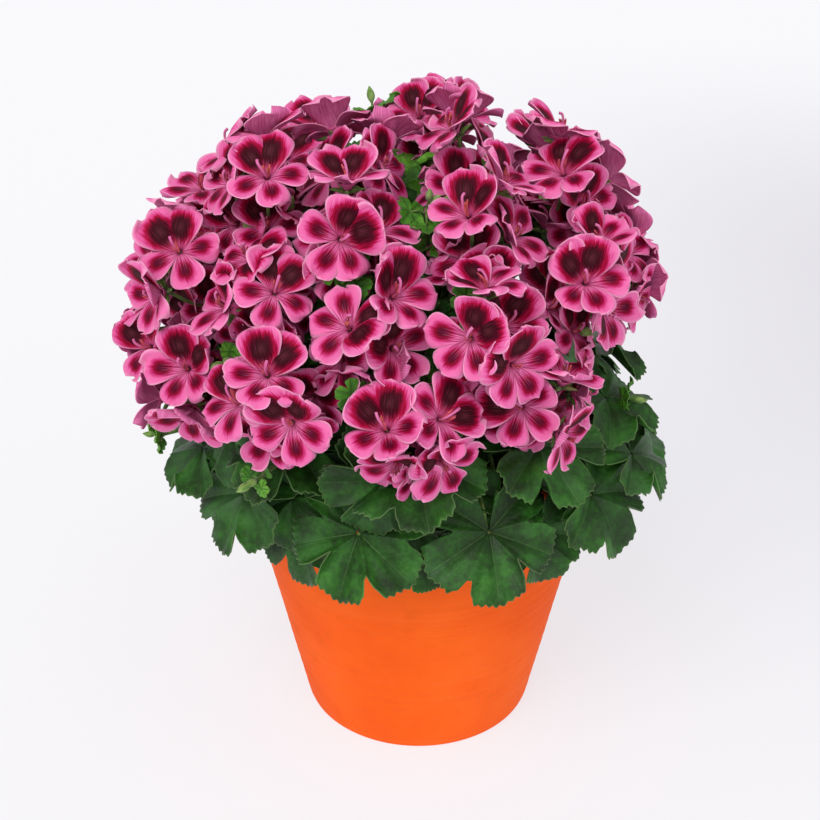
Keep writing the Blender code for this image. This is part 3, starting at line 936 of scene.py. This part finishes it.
# Leaves of the skirt between the CAD ones: azimuth, reach, height, slope, radius
SKIRT = (
    (-68, 0.108, 0.160, 72, 0.028),
    (-34, 0.107, 0.158, 74, 0.029),
    (1, 0.106, 0.158, 76, 0.022),
    (33, 0.107, 0.159, 74, 0.029),
    (65, 0.108, 0.160, 72, 0.029),
    (97, 0.107, 0.161, 72, 0.028),
    (129, 0.107, 0.158, 74, 0.028),
    (161, 0.107, 0.161, 72, 0.028),
    (-167, 0.107, 0.158, 74, 0.028),
    (-135, 0.107, 0.161, 72, 0.028),
    (-102, 0.107, 0.158, 74, 0.028),
    (-36, 0.106, 0.176, 60, 0.025),
    (-4, 0.106, 0.174, 62, 0.022),
    (24, 0.098, 0.179, 46, 0.024),
    (50, 0.106, 0.173, 62, 0.024),
    (80, 0.106, 0.176, 60, 0.025),
    (112, 0.106, 0.178, 60, 0.025),
    (145, 0.106, 0.176, 60, 0.025),
    (178, 0.106, 0.178, 60, 0.025),
    (-150, 0.106, 0.176, 60, 0.025),
    (-118, 0.106, 0.178, 60, 0.025),
    (-80, 0.106, 0.176, 60, 0.025),
    (-14, 0.088, 0.190, 40, 0.027),
    (8, 0.092, 0.188, 42, 0.026),
)

# Young shoots in the gaps between the heads: azimuth, elevation, reach from the dome's centre
# and size
SHOOTS = (
    (-13, 45, 0.122, 0.8),
    (23, 37, 0.126, 0.8),
    (-6, 19, 0.120, 0.7),
    (-32, -5, 0.119, 0.55),
    (-73, -11, 0.126, 0.6),
    (-160, 76, 0.128, 0.75),
    (54, 65, 0.124, 0.7),
    (16, 62, 0.120, 0.9),
    (-41, 21, 0.119, 0.6),
    (-75, 27, 0.124, 0.7),
    (79, -5, 0.120, 0.6),
    (120, 40, 0.122, 0.8),
    (170, 30, 0.122, 0.7),
    (-140, 35, 0.122, 0.8),
    (-110, 10, 0.122, 0.7),
    (140, 0, 0.122, 0.7),
)


def shoot(number, azimuth, elevation, reach, size):
    """A stalk with three small leaves and two buds at its end."""
    rng = np.random.default_rng(SHOOT_SEED + number)
    out = out_of(azimuth, elevation)
    tip = DOME + reach * out
    foot = DOME + 0.05 * out_of(azimuth, elevation - 14)
    shape = Shape(("leaf",))
    stalk = curve_through([foot, (foot + tip) / 2 + rng.normal(0, 0.002, 3), tip], 12)
    shape.tube(stalk, np.linspace(0.0014, 0.0009, 12), 7, PETIOLE_SLOT)
    basis = frame_of(out, np.array((0.1, 0.2, 1.0)))
    first = rng.uniform(0, 2 * np.pi)
    for k in range(SHOOT_LEAVES):
        spin = first + 2 * np.pi * k / SHOOT_LEAVES + rng.normal(0, 0.3)
        aim = basis[:, 0] * math.cos(spin) + basis[:, 1] * math.sin(spin)
        radius = rng.uniform(0.0085, 0.0120) * size
        normal = unit(out - aim * rng.uniform(0.2, 0.7))
        ahead = unit(aim - normal * np.dot(aim, normal))
        centre = tip + aim * 0.0080 * size + out * rng.uniform(-0.004, 0.003)
        add_blade(shape, rng, centre, np.cross(ahead, normal), ahead, normal, radius, droop=0.05)
        end = centre - normal * 0.0012
        path = curve_through([tip - out * 0.004, (tip + centre) / 2 - out * 0.001, end], 7)
        shape.tube(path, 0.0006, 6, PETIOLE_SLOT)
    for _ in range(SHOOT_BUDS):
        way = unit(out + rng.normal(0, 0.4, 3))
        end = tip + way * rng.uniform(0.003, 0.008) * size
        path = curve_through([tip - out * 0.002, (tip + end) / 2, end], 5)
        shape.tube(path, 0.0006, 6, PETIOLE_SLOT)
        add_bud(shape, end - way * 0.0005, way, rng.uniform(0.006, 0.009), SHOOT_BUD_SLOT)
    piece = shape.build(f"shoot_{number:02d}", (YOUNG_LEAF, STALK, BUD))
    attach(piece, "root")


def skirt_leaf(number, azimuth, reach, height, slope, radius):
    rng = np.random.default_rng(SKIRT_SEED + number)
    out = out_of(azimuth)
    joint = reach * out + np.array((0, 0, height))
    lean = math.radians(slope)
    normal = out * math.sin(lean) + np.array((0, 0, math.cos(lean)))
    tip = out * math.cos(lean) - np.array((0, 0, math.sin(lean)))
    side, ahead = swung(np.cross(tip, normal), tip, rng.normal(0, 16))
    shape = Shape(("leaf",))
    add_blade(shape, rng, joint, side, ahead, normal, radius)
    under = joint - 0.005 * normal
    foot = 0.03 * out + np.array((0, 0, 0.186))
    arch = joint - 0.016 * out + np.array((0, 0, 0.016))
    end = joint - 0.003 * normal
    path = curve_through([foot, (foot + arch) / 2 + np.array((0, 0, 0.004)), arch, under, end], 16)
    shape.tube(path, 0.0011, 7, PETIOLE_SLOT)
    piece = shape.build(f"skirt_leaf_{number:02d}", (LEAF, STALK))
    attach(piece, "root")


def inner_leaf(number, azimuth, elevation, reach, radius):
    rng = np.random.default_rng(INNER_SEED + number)
    normal = out_of(azimuth, elevation)
    centre = DOME + reach * normal
    normal = unit(normal + rng.normal(0, 0.22, 3))
    tip = np.array((0.0, 0.0, -1.0)) + rng.normal(0, 0.5, 3)
    tip = unit(tip - normal * np.dot(tip, normal))
    side = np.cross(tip, normal)
    shape = Shape(("leaf",))
    young = rng.random() < 0.3
    size = radius * (0.7 if young else 1.0)
    add_blade(shape, rng, centre, side, tip, normal, size, droop=0.05)
    foot = DOME + 0.045 * out_of(azimuth, elevation - 12)
    bend = centre - normal * 0.012 - tip * 0.004
    path = curve_through([foot, (foot + bend) / 2, bend, centre - normal * 0.003], 12)
    shape.tube(path, 0.0011, 7, PETIOLE_SLOT)
    piece = shape.build(f"inner_leaf_{number:02d}", (YOUNG_LEAF if young else LEAF, STALK))
    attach(piece, "root")


# ---------------------------------------------------------------- stems, soil and pot


def keep_modified(piece):
    """Makes the modified shape the piece's own mesh."""
    bpy.context.view_layer.update()
    seen = piece.evaluated_get(bpy.context.evaluated_depsgraph_get())
    mesh = bpy.data.meshes.new_from_object(seen)
    piece.modifiers.clear()
    piece.data = mesh
    return mesh


def stem(node, number):
    piece = new_object(f"stalks_{number}", NODES[node].data.copy())
    piece.data.materials.clear()
    remesh = piece.modifiers.new("even", "REMESH")
    remesh.mode = "VOXEL"
    remesh.voxel_size = STEM_VOXEL
    smooth = piece.modifiers.new("soften", "SMOOTH")
    smooth.factor = 0.5
    smooth.iterations = STEM_SMOOTHING
    mesh = keep_modified(piece)
    mesh.materials.clear()
    mesh.materials.append(BARK)
    mesh.polygons.foreach_set("use_smooth", [True] * len(mesh.polygons))
    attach(piece, "root")
    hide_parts(node)


def turned_points(node):
    """The radius, the height and the place of each vertex of a turned CAD node."""
    at = np.array([v.co for v in NODES[node].data.vertices], float)
    radius = np.hypot(at[:, 0], at[:, 1])
    return radius, at[:, 2], at


def pot_profile(radius, height):
    """The pot's section from the middle of its floor inside, over the rim, to its underside."""
    top = height.max()
    outer_top = radius.max()
    outer_low = radius[height < 0.003].max()
    inner_top = radius[height > top - 0.0002].min()
    floor_rings = (height > 0.006) & (height < 0.012) & (radius < outer_low)
    floor = float(np.median(height[floor_rings]))
    floor_radius = radius[floor_rings].max()
    profile = [(0.002, floor), (floor_radius * 0.5, floor), (floor_radius - 0.002, floor)]
    profile.append((floor_radius - 0.0004, floor + 0.0008))
    for i in range(1, POT_INNER_RINGS):
        share = i / POT_INNER_RINGS
        z = floor + (top - 0.002 - floor) * share
        ring = 0.00012 * math.sin(2 * math.pi * z / 0.0062) + 0.00010 * math.sin(z * 2400)
        profile.append((floor_radius + (inner_top - floor_radius) * share + ring, z))
    middle, half = (inner_top + outer_top) / 2, (outer_top - inner_top) / 2
    for i in range(POT_RIM_STEPS + 1):
        turn = math.pi * i / POT_RIM_STEPS
        z = top - POT_ROUNDING + POT_ROUNDING * math.sin(turn)
        profile.append((middle - half * math.cos(turn), z))
    for i in range(1, POT_OUTER_RINGS):
        share = i / POT_OUTER_RINGS
        z = top - 0.0022 - (top - 0.0040) * share
        r = outer_low + (outer_top - outer_low) * (z / top)
        ring = 0.00010 * math.sin(2 * math.pi * z / 0.0075) + 0.00006 * math.sin(z * 3100 + 1)
        profile.append((min(r + ring, outer_top), z))
    for i in range(POT_FOOT_STEPS):
        turn = math.pi / 2 * i / (POT_FOOT_STEPS - 1)
        inset, z = POT_ROUNDING * (1 - math.cos(turn)), POT_ROUNDING * (1 - math.sin(turn))
        profile.append((outer_low - inset, z))
    return profile + [(outer_low * 0.6, 0.0), (0.002, 0.0)], outer_low


def drill_through(piece, centre, size):
    mesh = bpy.data.meshes.new("drill")
    made = bmesh.new()
    bmesh.ops.create_cone(
        made, cap_ends=True, segments=40, radius1=size, radius2=size, depth=DRILL_DEPTH
    )
    made.to_mesh(mesh)
    made.free()
    drill = new_object("drill", mesh)
    drill.location = (centre[0], centre[1], 0.004)
    cut = piece.modifiers.new("hole", "BOOLEAN")
    cut.operation = "DIFFERENCE"
    cut.solver = "EXACT"
    cut.object = drill
    keep_modified(piece)
    bpy.data.objects.remove(drill)


def pot():
    radius, height, at = turned_points("pot")
    profile, outer_low = pot_profile(radius, height)
    turns = 2 * np.pi * np.arange(POT_STEPS) / POT_STEPS
    # a thrown pot is never quite round
    round_ = 1 + 0.0008 * np.sin(2 * turns + 0.7) + 0.0005 * np.sin(5 * turns + 2.0)
    points = [
        (r * k * math.sin(t), -r * k * math.cos(t), z)
        for r, z in profile
        for t, k in zip(turns, round_)
    ]
    shape = Shape()
    shape.add(points, capped_faces(len(profile), POT_STEPS), 0)
    piece = shape.build("clay_pot", (CLAY,))
    # the drain holes, where the CAD pot has them
    ringed = at[(height < 0.0005) & (radius < outer_low - 0.006) & (radius > 0.01)]
    for quarter in range(4):
        turn = math.pi / 4 + quarter * math.pi / 2
        aim = np.array((math.cos(turn), math.sin(turn)))
        near = ringed[(ringed[:, :2] @ aim) > 0.7 * np.hypot(ringed[:, 0], ringed[:, 1])]
        if len(near):
            low, high = near.min(axis=0), near.max(axis=0)
            drill_through(piece, (low + high) / 2, (high - low)[:2].max() / 2)
    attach(piece, "root")
    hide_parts("pot")


def soil():
    radius, height, _ = turned_points("soil")
    rng = np.random.default_rng(SOIL_SEED)
    edge = radius.max()
    top = float(np.median(height[radius > edge - 0.006].max()))
    crown = height.max()
    low = height.min()
    low_radius = radius[height < low + 0.001].max()
    turns = 2 * np.pi * np.arange(SOIL_STEPS) / SOIL_STEPS
    rows = [ring_points(r, low, turns) for r in (0.003, low_radius)]
    rows.append(ring_points(edge, top - 0.003, turns))
    lumps = rng.normal(0, 1, (SOIL_RINGS, SOIL_STEPS))
    for axis in (0, 1):
        lumps = (lumps + np.roll(lumps, 1, axis) + np.roll(lumps, -1, axis)) / 2.2
    for i in range(SOIL_RINGS):
        share = 1 - (i + 0.35) / (SOIL_RINGS + 0.35)
        r = (edge - 0.0015) * share
        z = top + (crown - top) * min(1.0, 1.35 * (1 - share))
        level = ring_points(r, z, turns)
        lift = 0.0007 * np.clip(lumps[i], -2, 2)
        rows.append([(x, y, z + float(up)) for (x, y, _), up in zip(level, lift)])
    shape = Shape()
    shape.add(np.array(rows).reshape(-1, 3), capped_faces(len(rows), SOIL_STEPS), 0)
    for _ in range(SOIL_CHIPS):
        spin, far = rng.uniform(0, 2 * np.pi), edge * math.sqrt(rng.uniform(0.02, 0.9))
        share = 1 - far / edge
        z = top + (crown - top) * min(1.0, 1.35 * share)
        at = np.array((far * math.sin(spin), -far * math.cos(spin), z + 0.0004))
        size = rng.uniform(0.0012, 0.0034)
        aim = rng.normal(0, 1, 3)
        aim[2] *= 0.3
        aim = unit(aim)
        path = at + np.outer(np.linspace(-1, 1, 5) * size * rng.uniform(0.8, 1.6), aim)
        ring = size * np.array((0.35, 0.85, 1.0, 0.8, 0.3)) * rng.uniform(0.5, 0.9)
        points, tube = tube_mesh(path, ring, 6)
        points = points + rng.normal(0, size * 0.10, points.shape)
        shape.add(points, tube, 0)
    piece = shape.build("potting_mix", (SOIL,), smooth=False)
    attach(piece, "root")
    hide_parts("soil")


# ---------------------------------------------------------------- stage


def stage():
    floor_mesh = bpy.data.meshes.new("floor")
    half = FLOOR_SIZE / 2
    floor_mesh.from_pydata(
        [(-half, -half, 0), (half, -half, 0), (half, half, 0), (-half, half, 0)], [], [(0, 1, 2, 3)]
    )
    floor_mesh.materials.append(backdrop_material())
    floor = new_object("floor", floor_mesh)
    floor.location.z = -0.0002

    world = bpy.data.worlds.new("studio")
    world.use_nodes = True
    sky = world.node_tree.nodes["Background"]
    sky.inputs["Color"].default_value = (0.96, 0.965, 1.0, 1)
    sky.inputs["Strength"].default_value = 0.58
    bpy.context.scene.world = world

    def sun(name, azimuth, elevation, strength, spread, colour=(1, 1, 1)):
        light = bpy.data.lights.new(name, "SUN")
        light.energy = strength
        light.angle = math.radians(spread)
        light.color = colour
        lamp = new_object(name, light)
        lamp.rotation_euler = Vector(out_of(azimuth, elevation)).to_track_quat("Z", "Y").to_euler()

    sun("key", -28, 48, 1.55, 38, (1.0, 0.99, 0.97))
    sun("fill", 42, 40, 0.55, 60)

    lens = bpy.data.cameras.new("camera")
    lens.lens = CAMERA_LENS
    lens.sensor_width = 36.0
    camera = new_object("camera", lens)
    camera.location = CAMERA_AT
    camera.rotation_euler = (math.radians(CAMERA_TILT), 0, 0)
    bpy.context.scene.camera = camera
    bpy.context.scene.view_settings.view_transform = "Standard"


# ---------------------------------------------------------------- build


heads = sorted(n for n in NODES if n.startswith("flower_head_"))
leaves = sorted(n for n in NODES if n.startswith("leaf_"))
stems = sorted(n for n in NODES if n.startswith("stem_"))

# the dome's centre, from the normals of all the florets
DOME = meeting_point([face for name in heads for face in floret_faces(name)])

pot()
soil()
for i, name in enumerate(stems):
    stem(name, i + 1)
for i, name in enumerate(leaves):
    leaf(name, i + 1)
for i, name in enumerate(heads):
    flower_head(name, i + 1)
for i, (azimuth, elevation, reach, radius) in enumerate(INNER_LEAVES):
    inner_leaf(i + 1, azimuth, elevation, reach, radius)
for i, row in enumerate(SKIRT):
    skirt_leaf(i + 1, *row)
for i, row in enumerate(SHOOTS):
    shoot(i + 1, *row)
stage()
